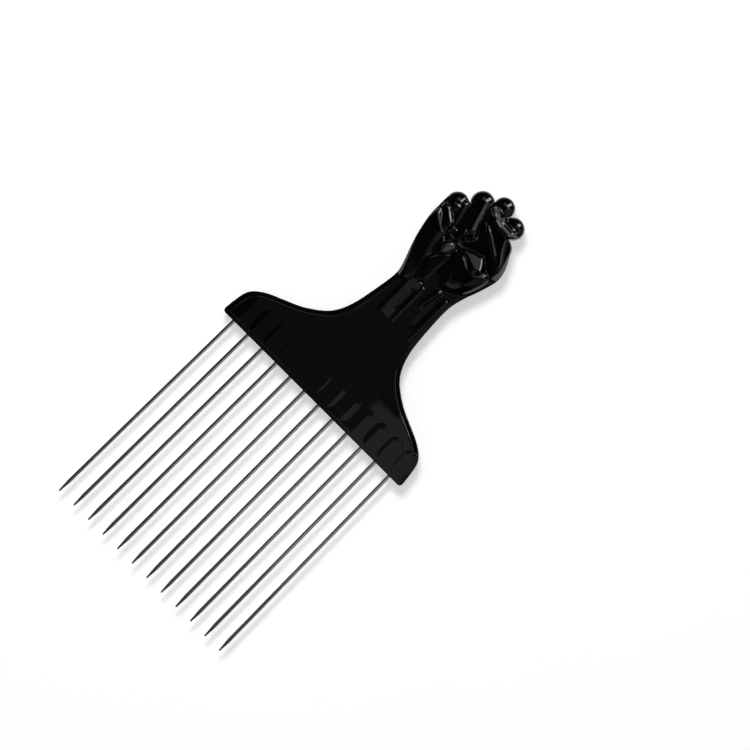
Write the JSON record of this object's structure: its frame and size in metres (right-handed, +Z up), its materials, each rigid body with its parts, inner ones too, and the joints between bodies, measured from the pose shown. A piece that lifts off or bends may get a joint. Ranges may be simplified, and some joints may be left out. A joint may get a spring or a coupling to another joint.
{
  "type": "afro pick",
  "caption": "Hair pick with a glossy moulded handle that ends in a raised fist, and one row of long straight steel pins with blunt tapered tips.",
  "frame": {"origin": "middle of the part's box, on the plane of its lowest point, which is the back of the fist; the part lies on its back with the palm side up", "axes": "+X across the head to the thumb side, +Y along the handle from the pin tips to the knuckles, +Z up out of the palm side"},
  "size_m": [0.084, 0.1765, 0.0143],
  "materials": {
    "handle_plastic": "glossy black moulded plastic",
    "pin_steel": "bright drawn steel wire"
  },
  "bodies": {
    "root": {"handle": "handle_plastic", "pin_01": "pin_steel", "pin_02": "pin_steel", "pin_03": "pin_steel", "pin_04": "pin_steel", "pin_05": "pin_steel", "pin_06": "pin_steel", "pin_07": "pin_steel", "pin_08": "pin_steel", "pin_09": "pin_steel", "pin_10": "pin_steel", "pin_11": "pin_steel", "pin_12": "pin_steel"}
  },
  "joints": []
}
